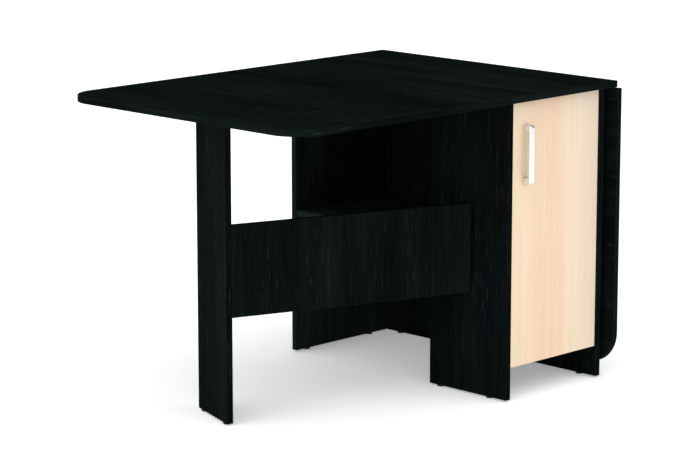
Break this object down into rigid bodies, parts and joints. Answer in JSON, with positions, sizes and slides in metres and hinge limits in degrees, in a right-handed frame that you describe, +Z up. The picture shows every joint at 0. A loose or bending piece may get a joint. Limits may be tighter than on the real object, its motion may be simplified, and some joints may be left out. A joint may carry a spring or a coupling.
{
  "type": "gateleg table",
  "caption": "Folding dining table: narrow cabinet under a fixed centre top, drop leaves that rest on swinging board gates, and a light door with a strap handle.",
  "frame": {"origin": "on the floor, at the middle of the outline of the whole table as shown: left leaf raised on its open gate, right leaf hanging", "axes": "+X from the raised leaf's free end towards the hanging leaf, +Y from the door end to the far end, +Z up"},
  "size_m": [1.1132, 0.8, 0.75],
  "materials": {
    "dark_board": "near-black wood-grain laminate on board, matt with a fine vertical grain",
    "light_board": "pale oak laminate, satin, with soft vertical streaks",
    "satin_handle": "satin",
    "plated_steel": "zinc plated",
    "dark_plastic": "matt",
    "pale_plastic": "matt"
  },
  "bodies": {
    "cabinet": {"side_panel_left": "dark_board", "side_panel_right": "dark_board", "end_panel": "dark_board", "cabinet_back": "dark_board", "cabinet_bottom": "dark_board", "cabinet_shelf": "dark_board", "shelf_pins": "plated_steel", "niche_shelf": "dark_board", "top_center": "dark_board", "top_brackets": "pale_plastic", "bracket_screws": "plated_steel", "carcass_screws": "plated_steel", "carcass_caps": "dark_plastic", "cabinet_glides": "dark_plastic", "door_arms": "plated_steel", "door_arm_screws": "plated_steel", "door_magnet": "pale_plastic", "leaf_hinge_fixed_left": "plated_steel", "leaf_hinge_pins_left": "plated_steel", "leaf_hinge_fixed_right": "plated_steel", "leaf_hinge_pins_right": "plated_steel", "gate_hinge_fixed_left": "plated_steel", "gate_hinge_pins_left": "plated_steel", "gate_hinge_fixed_right": "plated_steel", "gate_hinge_pins_right": "plated_steel", "fixed_hinge_screws_left": "plated_steel", "fixed_hinge_screws_right": "plated_steel"},
    "left_leaf": {"leaf_left": "dark_board", "leaf_hinge_left": "plated_steel", "leaf_hinge_screws_left": "plated_steel"},
    "right_leaf": {"leaf_right": "dark_board", "leaf_hinge_right": "plated_steel", "leaf_hinge_screws_right": "plated_steel"},
    "left_gate": {"gate_rail_left": "dark_board", "gate_leg_left": "dark_board", "gate_screws_left": "plated_steel", "gate_caps_left": "dark_plastic", "gate_glides_left": "dark_plastic", "gate_hinge_left": "plated_steel", "gate_hinge_screws_left": "plated_steel"},
    "right_gate": {"gate_rail_right": "dark_board", "gate_leg_right": "dark_board", "gate_screws_right": "plated_steel", "gate_caps_right": "dark_plastic", "gate_glides_right": "dark_plastic", "gate_hinge_right": "plated_steel", "gate_hinge_screws_right": "plated_steel"},
    "door": {"door_panel": "light_board", "door_hinge_cups": "plated_steel", "door_hinge_links": "plated_steel", "door_cup_screws": "plated_steel", "door_handle": "satin_handle", "handle_screws": "plated_steel", "door_strike_plate": "plated_steel", "door_bumpers": "pale_plastic"}
  },
  "joints": [
    {"name": "left_leaf_lift", "type": "hinge", "parent": "cabinet", "child": "left_leaf", "pos_m": [0.14835, 0, 0.7317], "axis": [0, 1, 0], "range_deg": [0, 4]},
    {"name": "left_gate_swing", "type": "hinge", "parent": "cabinet", "child": "left_gate", "pos_m": [0.16345, -0.253, 0.37], "axis": [0, 0, 1], "range_deg": [-70.5, 19.5]},
    {"name": "right_leaf_raise", "type": "hinge", "parent": "cabinet", "child": "right_leaf", "pos_m": [0.53835, 0, 0.7317], "axis": [0, -1, 0], "range_deg": [0, 90]},
    {"name": "right_gate_play", "type": "hinge", "parent": "cabinet", "child": "right_gate", "pos_m": [0.52325, -0.253, 0.37], "axis": [0, 0, -1], "range_deg": [0, 0.15]},
    {"name": "door_swing", "type": "hinge", "parent": "cabinet", "child": "door", "pos_m": [0.50185, -0.371, 0.4], "axis": [0, 0, 1], "range_deg": [0, 95]}
  ]
}
